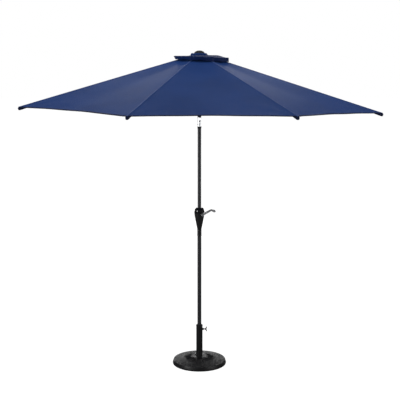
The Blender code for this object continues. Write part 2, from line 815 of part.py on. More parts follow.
def make_tongue():
    plug = UPPER_POLE_RADIUS - UPPER_POLE_WALL - CLEARANCE
    tongue = turned(
        "tilt_tongue",
        [
            (0.0, TONGUE_TOP),
            (plug, TONGUE_TOP),
            (plug, TILT_COLLAR_BOTTOM),
            (KNUCKLE_RADIUS, TILT_COLLAR_BOTTOM),
            (KNUCKLE_RADIUS, TONGUE_BOTTOM),
            (0.0, TONGUE_BOTTOM),
        ],
        "chrome",
    )
    half = CHEEK_SLOT / 2 - RUNNING
    low = (-TONGUE_HALF_WIDTH, -half, TILT_HEIGHT)
    high = (TONGUE_HALF_WIDTH, half, TONGUE_BOTTOM + 2 * EDGE)
    boolean(tongue, box_mesh("flat", low, high), "UNION")
    knuckle = rod_mesh(
        "knuckle", TONGUE_HALF_WIDTH, (0, -half, TILT_HEIGHT), (0, half, TILT_HEIGHT), 32
    )
    boolean(tongue, knuckle, "UNION")
    pin = TILT_PIN_RADIUS + RUNNING
    reach = half + CUTTER_REACH
    cut_rod(tongue, pin, (0, -reach, TILT_HEIGHT), (0, reach, TILT_HEIGHT))
    low_end = TILT_HEIGHT - TONGUE_HALF_WIDTH - CUTTER_REACH
    high_end = TONGUE_TOP + CUTTER_REACH
    cut_rod(tongue, CORD_BORE, (CORD_OFFSET, 0, low_end), (CORD_OFFSET, 0, high_end), 12)


def make_tilt_pin():
    """The pin runs across the cheeks, along Y, with a low head at each end."""
    grip = KNUCKLE_RADIUS + CLEARANCE
    end = grip + PIN_HEAD_THICKNESS
    head = TILT_PIN_RADIUS + PIN_HEAD_LIP
    rim = end - PIN_HEAD_THICKNESS * 0.4
    pin = turned(
        "tilt_pin",
        [
            (0.0, end),
            (head, rim),
            (head, grip),
            (TILT_PIN_RADIUS, grip),
            (TILT_PIN_RADIUS, -grip),
            (head, -grip),
            (head, -rim),
            (0.0, -end),
        ],
        "steel",
        20,
    )
    pin.location = (0, 0, TILT_HEIGHT)
    pin.rotation_euler = (math.pi / 2, 0, 0)


def make_button():
    outer = -(KNUCKLE_RADIUS + BUTTON_PROUD)
    inner = outer + BUTTON_LENGTH
    button = turned(
        "tilt_button",
        [
            (0.0, -outer),
            (BUTTON_RADIUS * 0.70, -outer - EDGE * 0.3),
            (BUTTON_RADIUS, -outer - EDGE),
            (BUTTON_RADIUS, -inner),
            (0.0, -inner),
        ],
        "plastic",
        20,
    )
    # Its own +Z points out of the pole, towards -X.
    button.location = (0, 0, BUTTON_HEIGHT)
    button.rotation_euler = (0, -math.pi / 2, 0)

    coil = BUTTON_RADIUS * 0.65
    seat = SPRING_WIRE_RADIUS + CLEARANCE
    start = inner + seat
    length = POCKET_END - seat - start
    points = []
    for step in range(SPRING_TURNS * SPRING_STEPS + 1):
        angle = 2 * math.pi * step / SPRING_STEPS
        share = step / (SPRING_TURNS * SPRING_STEPS)
        across = (coil * math.cos(angle), BUTTON_HEIGHT + coil * math.sin(angle))
        points.append((start + length * share, *across))
    spring = cord("button_spring", points, "steel")
    spring.data.bevel_depth = SPRING_WIRE_RADIUS
    spring.data.bevel_resolution = 1


def make_tilt_collar():
    bore = UPPER_POLE_RADIUS + CLEARANCE
    low = TILT_COLLAR_BOTTOM + CLEARANCE
    high = low + TILT_COLLAR_HEIGHT
    turned(
        "tilt_collar",
        [
            (bore, high),
            (TILT_COLLAR_RADIUS - EDGE / 2, high),
            (TILT_COLLAR_RADIUS, high - EDGE),
            (TILT_COLLAR_RADIUS, low),
            (bore, low),
        ],
        "plastic",
    )


# ---------------------------------------------------------------- hub, runner and lift cord


def rib_turn(number):
    """Direction of a rib. Rib 1 points to the crank's side, -Y."""
    return -math.pi / 2 + (number - 1) * RIB_STEP


def make_upper_pole():
    bore = UPPER_POLE_RADIUS - UPPER_POLE_WALL
    tube(
        "upper_pole", UPPER_POLE_RADIUS, bore, UPPER_POLE_BOTTOM, UPPER_POLE_TOP, "charcoal_steel"
    )


def cut_notches(obj, height):
    reach = NOTCH_HALF_HEIGHT + CUTTER_REACH
    low = (NOTCH_CORE_RADIUS, -NOTCH_SLOT / 2, height - reach)
    high = (NOTCH_RADIUS + CUTTER_REACH, NOTCH_SLOT / 2, height + reach)
    for number in range(1, RIB_COUNT + 1):
        cut_box(obj, low, high, rib_turn(number))


def make_hub():
    top = HUB_HEIGHT + NOTCH_HALF_HEIGHT
    low = HUB_HEIGHT - NOTCH_HALF_HEIGHT
    floor = HUB_HEIGHT - GROOVE_DEPTH_PAST_PIVOT
    bore = UPPER_POLE_RADIUS + CLEARANCE
    socket = low - SOCKET_DEPTH
    hub = turned(
        "top_hub",
        [
            (0.0, top),
            (PIVOT_RADIUS - GROOVE_HALF_WIDTH, top),
            (PIVOT_RADIUS - GROOVE_HALF_WIDTH, floor),
            (PIVOT_RADIUS + GROOVE_HALF_WIDTH, floor),
            (PIVOT_RADIUS + GROOVE_HALF_WIDTH, top),
            (NOTCH_RADIUS, top),
            (NOTCH_RADIUS, low),
            (bore + SOCKET_WALL, low),
            (bore + SOCKET_WALL, socket),
            (bore, socket),
            (bore, UPPER_POLE_TOP + CLEARANCE),
            (0.0, UPPER_POLE_TOP + CLEARANCE),
        ],
        "plastic",
    )
    cut_notches(hub, HUB_HEIGHT)
    half = PULLEY_SLOT / 2
    far = 2 * PULLEY_RADIUS + 2 * CORD_RADIUS
    below, above = socket - CUTTER_REACH, top + CUTTER_REACH
    cut_box(hub, (-half, -half, below), (far, half, above), PULLEY_TURN)
    centre = direction(PULLEY_TURN) * PULLEY_RADIUS + Vector((0, 0, HUB_HEIGHT))
    bearing = half + TRUNNION_LENGTH + 2 * CLEARANCE
    across = direction(PULLEY_TURN + math.pi / 2) * bearing
    cut_rod(hub, TRUNNION_RADIUS + CLEARANCE, centre - across, centre + across, 12)


def make_pulley():
    """A grooved wheel with its own trunnions, on a level axis across the hub."""
    half = PULLEY_WIDTH / 2
    groove = PULLEY_RADIUS - CORD_RADIUS - CLEARANCE
    rim = PULLEY_RADIUS + PULLEY_RIM
    stub = PULLEY_SLOT / 2 + TRUNNION_LENGTH
    groove_half = CORD_RADIUS + CLEARANCE
    pulley = turned(
        "pulley",
        [
            (0.0, stub),
            (TRUNNION_RADIUS, stub),
            (TRUNNION_RADIUS, half),
            (rim, half),
            (rim, half - EDGE),
            (groove, groove_half),
            (groove, -groove_half),
            (rim, -half + EDGE),
            (rim, -half),
            (TRUNNION_RADIUS, -half),
            (TRUNNION_RADIUS, -stub),
            (0.0, -stub),
        ],
        "steel",
        20,
    )
    pulley.location = direction(PULLEY_TURN) * PULLEY_RADIUS + Vector((0, 0, HUB_HEIGHT))
    pulley.rotation_euler = (math.pi / 2, 0, PULLEY_TURN)


def make_ring(name, height):
    bpy.ops.mesh.primitive_torus_add(
        major_segments=32, minor_segments=6, major_radius=PIVOT_RADIUS, minor_radius=WIRE_RADIUS
    )
    made = bpy.context.active_object
    mesh = made.data
    mesh.name = name
    bpy.data.objects.remove(made, do_unlink=True)
    ring = link(name, mesh, "steel")
    ring.location = (0, 0, height)


def make_hub_cap():
    bore = FINIAL_STEM_RADIUS + CLEARANCE
    turned(
        "hub_cap",
        [
            (bore, HUB_CAP_TOP),
            (HUB_CAP_RADIUS - EDGE, HUB_CAP_TOP),
            (HUB_CAP_RADIUS, HUB_CAP_TOP - EDGE),
            (HUB_CAP_RADIUS, HUB_CAP_BOTTOM),
            (bore, HUB_CAP_BOTTOM),
        ],
        "plastic",
    )


def make_runner():
    top = RUNNER_HEIGHT + NOTCH_HALF_HEIGHT
    low = RUNNER_HEIGHT - NOTCH_HALF_HEIGHT
    ceiling = RUNNER_HEIGHT + GROOVE_DEPTH_PAST_PIVOT
    end = low - RUNNER_LENGTH
    wall = RUNNER_BORE + RUNNER_WALL
    runner = turned(
        "runner",
        [
            (RUNNER_BORE, top),
            (NOTCH_RADIUS, top),
            (NOTCH_RADIUS, low),
            (PIVOT_RADIUS + GROOVE_HALF_WIDTH, low),
            (PIVOT_RADIUS + GROOVE_HALF_WIDTH, ceiling),
            (PIVOT_RADIUS - GROOVE_HALF_WIDTH, ceiling),
            (PIVOT_RADIUS - GROOVE_HALF_WIDTH, low),
            (wall, low),
            (wall - EDGE, end),
            (RUNNER_BORE, end),
        ],
        "plastic",
    )
    cut_notches(runner, RUNNER_HEIGHT)


def make_cords():
    """Spool to tilt joint, tilt joint over the pulley, and pulley down to the runner."""
    tangent = SPOOL_RADIUS + CORD_RADIUS + CLEARANCE
    cord(
        "lift_cord_lower",
        [
            (tangent, 0, CRANK_HEIGHT),
            (tangent, 0, CRANK_HEIGHT + 0.02),
            (CORD_OFFSET, 0, CRANK_HEIGHT + 0.10),
            (CORD_OFFSET, 0, TILT_HEIGHT - KNUCKLE_GAP),
        ],
    )
    out = direction(PULLEY_TURN)
    up = Vector((0, 0, 1))
    centre = out * PULLEY_RADIUS + up * HUB_HEIGHT
    over = []
    for step in range(9):
        angle = math.pi - math.pi * step / 8
        over.append(centre + (out * math.cos(angle) + up * math.sin(angle)) * PULLEY_RADIUS)
    end = out * 2 * PULLEY_RADIUS + up * (HUB_HEIGHT - CORD_END_DROP)
    cord(
        "lift_cord_upper",
        [
            (CORD_OFFSET, 0, TILT_HEIGHT - 0.0040),
            (CORD_OFFSET, 0, TONGUE_TOP + 0.01),
            (0, 0, HUB_HEIGHT - 0.06),
            *over,
            end,
        ],
    )
    runner_top = RUNNER_HEIGHT + NOTCH_HALF_HEIGHT + CLEARANCE
    foot = out * 2 * PULLEY_RADIUS + up * runner_top
    cord("lift_cord_drop", [end - up * CLEARANCE, foot])


# ---------------------------------------------------------------- ribs and struts


def rib_angle(number):
    return math.radians(RIB_OPEN_DEG + RIB_SLACK_DEG[number - 1])


def rib_mesh():
    """The rib in its own frame: X along it from its pivot, Y across it, Z up."""
    root = ROOT_THICKNESS / 2
    side = RIB_WIDTH / 2
    upper = [
        (-ROOT_END, root),
        (ROOT_LENGTH, root),
        (ROOT_LENGTH + ROOT_SHOULDER, side),
        (RIB_LENGTH, side),
    ]
    outline = upper + [(x, -y) for x, y in reversed(upper)]
    rib = link("rib_blank", plate_mesh("rib_blank", outline, RIB_HEIGHT), "charcoal_steel")
    reach = root + CUTTER_REACH
    cut_rod(rib, WIRE_RADIUS + RING_RUNNING, (0, -reach, 0), (0, reach, 0), 12)
    mesh = baked(rib)
    smooth(mesh)
    return mesh


def strut_mesh():
    """The strut in its own frame. It steps sideways past its root, to pass beside the rib."""
    root = ROOT_THICKNESS / 2
    near = RIB_WIDTH / 2 + STRUT_SIDE_GAP
    far = near + STRUT_THICKNESS
    step = ROOT_LENGTH + JOGGLE_LENGTH
    end = STRUT_LENGTH + STRUT_HEIGHT / 2
    outline = [
        (-ROOT_END, -root),
        (ROOT_LENGTH, -root),
        (step, near),
        (end, near),
        (end, far),
        (step - JOGGLE_SHIFT, far),
        (ROOT_LENGTH - JOGGLE_SHIFT, root),
        (-ROOT_END, root),
    ]
    strut = link("strut_blank", plate_mesh("strut_blank", outline, STRUT_HEIGHT), "charcoal_steel")
    reach = root + CUTTER_REACH
    cut_rod(strut, WIRE_RADIUS + RING_RUNNING, (0, -reach, 0), (0, reach, 0), 12)
    mesh = baked(strut)
    smooth(mesh)
    return mesh


def make_ribs_and_struts():
    rib_data = rib_mesh()
    strut_data = strut_mesh()
    for number in range(1, RIB_COUNT + 1):
        turn = rib_turn(number)
        out = direction(turn) * PIVOT_RADIUS
        droop = rib_angle(number)
        rib = link(f"rib_{number}", rib_data, "charcoal_steel")
        rib.location = out + Vector((0, 0, HUB_HEIGHT))
        rib.rotation_euler = (0, droop, turn)
        drop = HUB_HEIGHT - RUNNER_HEIGHT - STRUT_LENGTH * math.sin(droop) - STRUT_SEAT
        rise = math.atan2(drop, STRUT_LENGTH * math.cos(droop))
        strut = link(f"strut_{number}", strut_data, "charcoal_steel")
        strut.location = out + Vector((0, 0, RUNNER_HEIGHT))
        strut.rotation_euler = (0, -rise, turn)


# ---------------------------------------------------------------- fabric


def rib_top(number, radius):
    """The point of the fabric over a rib, at a distance from the pole's axis."""
    number = (number - 1) % RIB_COUNT + 1
    droop = rib_angle(number)
    lift = (RIB_HEIGHT / 2 + FABRIC_LIFT) / math.cos(droop)
    height = HUB_HEIGHT - (radius - PIVOT_RADIUS) * math.tan(droop) + lift
    return direction(rib_turn(number)) * radius + Vector((0, 0, height))


def fabric_top(radius):
    """The height of the fabric over the highest rib, at a distance from the pole's axis."""
    return max(rib_top(number, radius).z for number in range(1, RIB_COUNT + 1))


def tip_radius(number):
    number = (number - 1) % RIB_COUNT + 1
    return PIVOT_RADIUS + RIB_LENGTH * math.cos(rib_angle(number))


def panel_point(number, side, share, outward):
    """A point of the gore on one side of a rib: share 0 on the rib, 0.5 at mid-gore."""
    rim = tip_radius(number) * (1 - share) + tip_radius(number + side) * share
    rim -= HEM_RISE * math.sin(math.pi * share)
    radius = CANOPY_HOLE + (rim - CANOPY_HOLE) * outward
    own = rib_top(number, radius)
    other = rib_top(number + side, radius)
    return own.lerp(other, share)


def make_canopy():
    """One piece of fabric over each rib, out to mid-gore on both sides."""
    gap_share = CLEARANCE
    shares = (0.5 - gap_share, 0.25, 0.0, 0.25, 0.5 - gap_share)
    sides = (-1, -1, 1, 1, 1)
    for number in range(1, RIB_COUNT + 1):
        made = bmesh.new()
        rows = []
        for outward in (0.0, 0.5, 1.0):
            points = [panel_point(number, s, share, outward) for s, share in zip(sides, shares)]
            rows.append([made.verts.new(p) for p in points])
        for inner, outer in zip(rows, rows[1:]):
            for i in range(len(shares) - 1):
                made.faces.new((inner[i], outer[i], outer[i + 1], inner[i + 1]))
        mesh = bpy.data.meshes.new(f"canopy_panel_{number}")
        made.to_mesh(mesh)
        made.free()
        add_thickness(link(mesh.name, mesh, "fabric"))


def add_thickness(panel):
    """Solid upward from the modelled underside."""
    shell = panel.modifiers.new("Fabric", "SOLIDIFY")
    shell.thickness = FABRIC
    shell.offset = 1.0
    shell.use_even_offset = False


def make_crown():
    """The vent flap: a gathered top under the finial, then nearly flat out to eight points."""
    mid = 0.5 * (1 + math.cos(RIB_STEP / 2))
    shoulder = fabric_top(CROWN_SHOULDER_RADIUS) + CROWN_SHOULDER_RISE
    fall = fabric_top(CROWN_FALL_RADIUS) + CROWN_FALL_RISE
    rings = (
        (CROWN_HOLE, CROWN_BOTTOM, 1.0),
        (HUB_CAP_RADIUS + CROWN_NECK_LIP, CROWN_BOTTOM - CROWN_NECK_DROP, 1.0),
        (CROWN_SHOULDER_RADIUS, shoulder, 1.0),
        (CROWN_FALL_RADIUS, fall, 1.0),
        (CROWN_RADIUS, CROWN_RIM_HEIGHT, mid),
    )
    made = bmesh.new()
    rows = []
    for radius, height, pull in rings:
        row = []
        for step in range(2 * RIB_COUNT):
            reach = radius * (pull if step % 2 else 1.0)
            place = direction(rib_turn(1) + step * RIB_STEP / 2) * reach
            row.append(made.verts.new(place + Vector((0, 0, height))))
        rows.append(row)
    for inner, outer in zip(rows, rows[1:]):
        for i in range(len(inner)):
            j = (i + 1) % len(inner)
            made.faces.new((inner[i], outer[i], outer[j], inner[j]))
    mesh = bpy.data.meshes.new("crown")
    made.to_mesh(mesh)
    made.free()
    add_thickness(link("crown", mesh, "fabric"))


def make_finial():
    base = FINIAL_BOTTOM
    height = FINIAL_HEIGHT
    stem_end = HUB_CAP_BOTTOM + 2 * RUNNING
    turned(
        "finial",
        [
            (0.0, base + height),
            (FINIAL_RADIUS * 0.32, base + height * 0.97),
            (FINIAL_RADIUS * 0.66, base + height * 0.80),
            (FINIAL_RADIUS * 0.90, base + height * 0.45),
            (FINIAL_RADIUS, base + height * 0.10),
            (FINIAL_RADIUS, base),
            (FINIAL_STEM_RADIUS, base),
            (FINIAL_STEM_RADIUS, stem_end),
            (0.0, stem_end),
        ],
        "plastic",
    )


# ---------------------------------------------------------------- assembly

make_base()
make_sleeve()
make_bolts()
make_sleeve_collar()
make_clamp()
make_poles()
make_ferrule()
make_housing()
make_spool()
make_crank()
make_mast_ring()
make_fork()
make_tongue()
make_tilt_pin()
make_button()
make_tilt_collar()
make_upper_pole()
make_hub()
make_pulley()
make_ring("hub_ring", HUB_HEIGHT)
make_hub_cap()
make_runner()
make_ring("runner_ring", RUNNER_HEIGHT)
make_cords()
make_ribs_and_struts()
make_canopy()
make_crown()
make_finial()
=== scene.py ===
"""The looks of a crank-lift patio umbrella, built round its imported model. Metres, +Z up.

The canopy and the vent flap are made as one piece of cloth for each rib, from mid-gore to
mid-gore, so that every rib can fold with its own cloth.
"""

import json
import math

import bmesh
import bpy
from mathutils import Matrix, Vector


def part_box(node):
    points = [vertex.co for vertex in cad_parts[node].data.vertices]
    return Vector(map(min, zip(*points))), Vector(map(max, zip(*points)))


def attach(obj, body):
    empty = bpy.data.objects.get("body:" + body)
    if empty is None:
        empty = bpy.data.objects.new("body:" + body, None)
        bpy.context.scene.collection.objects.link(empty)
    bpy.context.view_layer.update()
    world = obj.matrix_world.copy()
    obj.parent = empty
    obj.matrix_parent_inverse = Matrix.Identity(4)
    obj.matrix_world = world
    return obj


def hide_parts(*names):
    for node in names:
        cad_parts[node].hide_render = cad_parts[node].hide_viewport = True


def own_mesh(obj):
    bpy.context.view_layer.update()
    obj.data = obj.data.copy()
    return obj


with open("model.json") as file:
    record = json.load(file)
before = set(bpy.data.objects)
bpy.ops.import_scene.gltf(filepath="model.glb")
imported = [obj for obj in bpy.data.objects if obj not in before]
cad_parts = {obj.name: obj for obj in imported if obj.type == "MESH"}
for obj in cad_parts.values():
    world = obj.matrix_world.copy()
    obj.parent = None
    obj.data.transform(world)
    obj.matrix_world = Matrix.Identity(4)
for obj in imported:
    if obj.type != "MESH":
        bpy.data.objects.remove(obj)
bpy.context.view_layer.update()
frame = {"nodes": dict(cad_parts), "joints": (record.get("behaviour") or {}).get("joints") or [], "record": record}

# ---------------------------------------------------------------- sizes

UP = Vector((0.0, 0.0, 1.0))
RIB_COUNT = 8
RIB_STEP = 2 * math.pi / RIB_COUNT

# Camera and lights
CAMERA_DISTANCE = 6.377
CAMERA_HEIGHT = 2.267
CAMERA_AZIMUTH = math.radians(-116.3)
CAMERA_TILT = math.radians(8.77)
CAMERA_LENS = 76.7
CAMERA_SHIFT = 0.0015
ROOM_LIGHT = 0.12
FLOOR_RADIUS = 60.0

# Canopy
CLOTH = 0.0010
CLOTH_LIFT = 0.0022  # middle of the cloth over the top of a rib
CANOPY_HOLE = 0.0540
HEM_RISE = 0.0160
SAG = 0.0110
LONG_WAVE = 0.0011
CROSS_WAVE = 0.0007
CORNER_FOLD = 0.0022  # folds pulled from the rib tips, and how far in they reach
CORNER_REACH = 0.16
HEM_WIDTH = 0.0170
HEM_THICKNESS = 0.0034
SEAM_HALF_WIDTH = 0.0064
SEAM_HEIGHT = 0.0030
SEAM_START = 0.0040  # from the hole under the vent
SEAM_TAPE = 0.0006
CLOTH_SLOPE = 0.054  # how fast the cloth falls away beside a rib
CLOTH_ROWS = 41
SEAM_ROWS = 61
POCKET_LENGTH = 0.0700
POCKET_STEPS = 20
POCKET_SQUARE = 0.55  # under 1 the section is squarer than a circle

# Vent flap
CROWN_RADIUS = 0.2120
CROWN_INNER = 0.0500
CROWN_HEM = 0.0275
CROWN_LEAN = 0.0070  # its rim stands higher on one side
CROWN_LEAN_TURN = math.radians(145.0)
CROWN_SHIFT = 0.0120
CROWN_SHIFT_TURN = math.radians(-26.3)
CROWN_FULLNESS = 0.0050  # the cloth stands up most on the side it is shifted to
CROWN_NECK_DROP = 0.0060  # these three are below the top of the hub cap
CROWN_SHOULDER_DROP = 0.0135
CROWN_RIM_DROP = 0.0200
CROWN_SCALLOP = 0.0090  # how far the rim pulls in between two ribs
CROWN_DROOP = 0.0050
CROWN_WAVE = 0.0022
CROWN_HEM_WAVE = 0.0028
CROWN_CURL = 0.0016
CROWN_ROWS = 15
CROWN_HALF_COLUMNS = 8
GATHER_FOLDS = 15
GATHER_LEAN = 0.0022  # it stands out more on the side where the flap is high
GATHER_STEPS = 180


# ---------------------------------------------------------------- places read from the frame


def points_of(node):
    return [v.co.copy() for v in frame["nodes"][node].data.vertices]


def fold_joint(number):
    return "canopy_fold" if number == 1 else f"rib_{number}_fold"


JOINTS = {joint["name"]: joint for joint in frame["joints"]}


class Rib:
    """Where a rib lies: its pivot, its line outward, the level side direction and its own up."""

    def __init__(self, number):
        self.number = number
        self.name = f"rib_{number}"
        self.pivot = Vector(JOINTS[fold_joint(number)]["pos_m"])
        self.outward = Vector((self.pivot.x, self.pivot.y, 0.0)).normalized()
        self.side = UP.cross(self.outward)
        points = points_of(self.name)
        reach = max(p @ self.outward for p in points)
        ends = [p for p in points if p @ self.outward > reach - 0.006]
        tip = sum(ends, Vector()) / len(ends)
        self.line = (tip - self.pivot).normalized()
        self.up = self.line.cross(self.side)
        self.length = (tip - self.pivot) @ self.line
        self.half_height = max((p - self.pivot) @ self.up for p in points)
        self.tip_radius = tip @ self.outward
        self.turn = math.atan2(self.outward.y, self.outward.x)

    def top(self, radius):
        """The middle of the cloth over the rib, at a distance from the pole's axis."""
        along = (radius - self.pivot @ self.outward) / (self.line @ self.outward)
        return self.pivot + self.line * along + self.up * (self.half_height + CLOTH_LIFT)

    def place(self, along, across, above):
        """A point in the rib's own directions, from its pivot."""
        return self.pivot + self.line * along + self.side * across + self.up * above


RIBS = [Rib(number) for number in range(1, RIB_COUNT + 1)]


def rib(number):
    return RIBS[(number - 1) % RIB_COUNT]


# ---------------------------------------------------------------- mesh helpers


def link(name, data):
    obj = bpy.data.objects.new(name, data)
    bpy.context.scene.collection.objects.link(obj)
    return obj


def blend_smooth(x, low, high):
    """0 below low, 1 above high and smooth between them."""
    share = min(max((x - low) / (high - low), 0.0), 1.0)
    return share * share * (3 - 2 * share)


def grid(name, rows, places, ring=False, sharp_deg=40.0):
    """A smooth mesh through rows of points. The places are cloth coordinates in metres."""
    made = bmesh.new()
    uv = made.loops.layers.uv.new("UVMap")
    verts = [[made.verts.new(p) for p in row] for row in rows]
    count = len(rows[0])
    for i in range(len(rows) - 1):
        for j in range(count if ring else count - 1):
            k = (j + 1) % count
            corners = ((i, j), (i + 1, j), (i + 1, k), (i, k))
            face = made.faces.new([verts[a][b] for a, b in corners])
            for loop, (a, b) in zip(face.loops, corners):
                loop[uv].uv = places[a][b]
    mesh = bpy.data.meshes.new(name)
    made.to_mesh(mesh)
    made.free()
    mesh.shade_smooth()
    mesh.set_sharp_from_angle(angle=math.radians(sharp_deg))
    sharpen_rim(mesh)
    return link(name, mesh)


def sharpen_rim(mesh):
    """Keeps the shading of a sheet's open edge apart from the edge of its thickness."""
    shared = {}
    for face in mesh.polygons:
        for key in face.edge_keys:
            shared[key] = shared.get(key, 0) + 1
    for edge in mesh.edges:
        if shared.get(edge.key) == 1:
            edge.use_edge_sharp = True


def loft(name, sections, step=0.01):
    """A closed skin through rings of points. One step of cloth coordinates is given in metres."""
    made = bmesh.new()
    uv = made.loops.layers.uv.new("UVMap")
    rings = [[made.verts.new(p) for p in section] for section in sections]
    count = len(sections[0])
    for i in range(len(rings) - 1):
        for j in range(count):
            k = (j + 1) % count
            face = made.faces.new((rings[i][j], rings[i][k], rings[i + 1][k], rings[i + 1][j]))
            ends = ((j, i), (j + 1, i), (j + 1, i + 1), (j, i + 1))
            for loop, (a, b) in zip(face.loops, ends):
                loop[uv].uv = (a * step, b * step)
    made.faces.new(rings[0])
    made.faces.new(rings[-1])
    bmesh.ops.recalc_face_normals(made, faces=made.faces)
    mesh = bpy.data.meshes.new(name)
    made.to_mesh(mesh)
    made.free()
    mesh.shade_smooth()
    mesh.set_sharp_from_angle(angle=math.radians(50.0))
    return link(name, mesh)


def turned(name, profile, steps):
    """A lathe piece about Z through the outline's (radius, height) points."""
    rows, places = [], []
    run = 0.0
    turns = [2 * math.pi * j / steps for j in range(steps)]
    for i, (radius, height) in enumerate(profile):
        if i:
            run += math.dist(profile[i - 1], profile[i])
        rows.append([Vector((radius * math.cos(t), radius * math.sin(t), height)) for t in turns])
        places.append([(t * 0.05, run) for t in turns])
    return grid(name, rows, places, ring=True)


def thicken(obj, thickness, offset=0.0):
    shell = obj.modifiers.new("Thickness", "SOLIDIFY")
    shell.thickness = thickness
    shell.offset = offset
    shell.use_even_offset = False


# ---------------------------------------------------------------- materials


class Look:
    """A material with a Principled shader, and short calls for the nodes in front of it."""

    def __init__(self, name, roughness, metallic=0.0, **sockets):
        self.material = bpy.data.materials.new(name)
        self.material.use_nodes = True
        self.tree = self.material.node_tree
        self.shader = self.tree.nodes["Principled BSDF"]
        self.shader.inputs["Roughness"].default_value = roughness
        self.shader.inputs["Metallic"].default_value = metallic
        for socket, value in sockets.items():
            self.shader.inputs[socket.replace("_", " ")].default_value = value

    def node(self, kind, **settings):
        made = self.tree.nodes.new(kind)
        for key, value in settings.items():
            setattr(made, key, value)
        return made

    def join(self, output, node, socket):
        self.tree.links.new(output, node.inputs[socket])

    def place(self, scale=(1.0, 1.0, 1.0), cloth=False, turn=0.0):
        source = self.node("ShaderNodeTexCoord").outputs["UV" if cloth else "Object"]
        mapping = self.node("ShaderNodeMapping")
        mapping.inputs["Scale"].default_value = scale
        mapping.inputs["Rotation"].default_value = (0.0, 0.0, turn)
        self.join(source, mapping, "Vector")
        return mapping.outputs["Vector"]

    def noise(self, scale, detail=3.0, place=None, roughness=0.5):
        made = self.node("ShaderNodeTexNoise")
        made.inputs["Scale"].default_value = scale
        made.inputs["Detail"].default_value = detail
        made.inputs["Roughness"].default_value = roughness
        self.join(place or self.place(), made, "Vector")
        return made.outputs["Fac"]

    def wave(self, scale, direction, place, profile="SIN"):
        made = self.node("ShaderNodeTexWave", bands_direction=direction, wave_profile=profile)
        made.inputs["Scale"].default_value = scale
        made.inputs["Distortion"].default_value = 0.0
        self.join(place, made, "Vector")
        return made.outputs["Fac"]

    def math(self, operation, a, b):
        made = self.node("ShaderNodeMath", operation=operation)
        for socket, value in enumerate((a, b)):
            if isinstance(value, (int, float)):
                made.inputs[socket].default_value = value
            else:
                self.join(value, made, socket)
        return made.outputs["Value"]

    def span(self, value, low, high, from_low=0.3, from_high=0.7):
        made = self.node("ShaderNodeMapRange")
        made.inputs["From Min"].default_value = from_low
        made.inputs["From Max"].default_value = from_high
        made.inputs["To Min"].default_value = low
        made.inputs["To Max"].default_value = high
        self.join(value, made, "Value")
        return made.outputs["Result"]

    def mix(self, factor, a, b):
        made = self.node("ShaderNodeMix", data_type="RGBA")
        for socket, colour in ((6, a), (7, b)):
            if isinstance(colour, tuple):
                made.inputs[socket].default_value = (*colour, 1.0)
            else:
                self.join(colour, made, socket)
        self.join(factor, made, 0)
        return made.outputs[2]

    def bump(self, height, distance, strength=1.0, before=None):
        made = self.node("ShaderNodeBump")
        made.inputs["Strength"].default_value = strength
        made.inputs["Distance"].default_value = distance
        self.join(height, made, "Height")
        if before:
            self.join(before, made, "Normal")
        return made.outputs["Normal"]

    def finish(self, colour=None, roughness=None, normal=None):
        if colour:
            self.join(colour, self.shader, "Base Color")
        if roughness:
            self.join(roughness, self.shader, "Roughness")
        if normal:
            self.join(normal, self.shader, "Normal")
        return self.material


def canvas(name, dark, light, stitched=False):
    """Woven polyester: plain weave, uneven threads and a faint bloom at grazing angles."""
    look = Look(name, 0.50, Specular_IOR_Level=0.14, Sheen_Weight=0.02, Sheen_Roughness=0.45)
    look.shader.inputs["Sheen Tint"].default_value = (0.80, 0.85, 1.0, 1.0)
    cloth = look.place(cloth=True)
    warp = look.wave(220.0, "X", cloth)
    weft = look.wave(220.0, "Y", cloth)
    slub = look.noise(1.0, 4.0, look.place((700.0, 90.0, 1.0), cloth=True))
    broad = look.noise(3.2, 4.0)
    weave = look.math("MULTIPLY", warp, weft)
    tone = look.math("ADD", look.math("MULTIPLY", slub, 0.35), look.math("MULTIPLY", broad, 0.65))
    colour = look.mix(look.span(tone, 0.0, 1.0, 0.38, 0.62), dark, light)
    shade = tuple(0.72 * c for c in dark)
    colour = look.mix(look.span(weave, 0.28, 0.0, 0.0, 0.55), colour, shade)
    normal = look.bump(weave, 0.00016, 0.55)
    normal = look.bump(slub, 0.00025, 0.35, normal)
    if stitched:
        run = look.wave(45.0, "Y", cloth)
        normal = look.bump(run, 0.0007, 0.7, normal)
        colour = look.mix(look.span(run, 0.0, 0.35, 0.75, 0.95), colour, light)
    return look.finish(colour, look.span(slub, 0.45, 0.58), normal)


def coated(name, dark, light, grain=0.00004, rough=(0.36, 0.42)):
    """Powder coat: a fine orange peel, and dust that lies unevenly."""
    look = Look(name, rough[0], 0.25, Specular_IOR_Level=0.55)
    peel = look.noise(900.0, 2.0)
    wear = look.noise(26.0, 5.0, roughness=0.65)
    colour = look.mix(look.span(wear, 0.0, 1.0), dark, light)
    return look.finish(colour, look.span(wear, *rough), look.bump(peel, grain, 0.6))


def plastic(name, dark, light, rough, grain=0.00005, coat=0.0):
    """Moulded plastic, with a fine spark-eroded grain."""
    look = Look(name, rough[0], Specular_IOR_Level=0.5, Coat_Weight=coat, Coat_Roughness=0.06)
    fine = look.noise(1400.0, 2.0)
    wear = look.noise(22.0, 4.0)
    colour = look.mix(look.span(wear, 0.0, 1.0), dark, light)
    return look.finish(colour, look.span(wear, *rough), look.bump(fine, grain, 0.5))


def metal(name, dark, light, rough, stretch):
    """Bare or plated steel with fine drawn lines."""
    look = Look(name, rough[0], 1.0)
    lines = look.noise(1.0, 5.0, look.place(stretch))
    spots = look.noise(60.0, 4.0)
    colour = look.mix(look.span(spots, 0.0, 1.0), dark, light)
    return look.finish(colour, look.span(lines, *rough), look.bump(lines, 0.00004, 0.35))


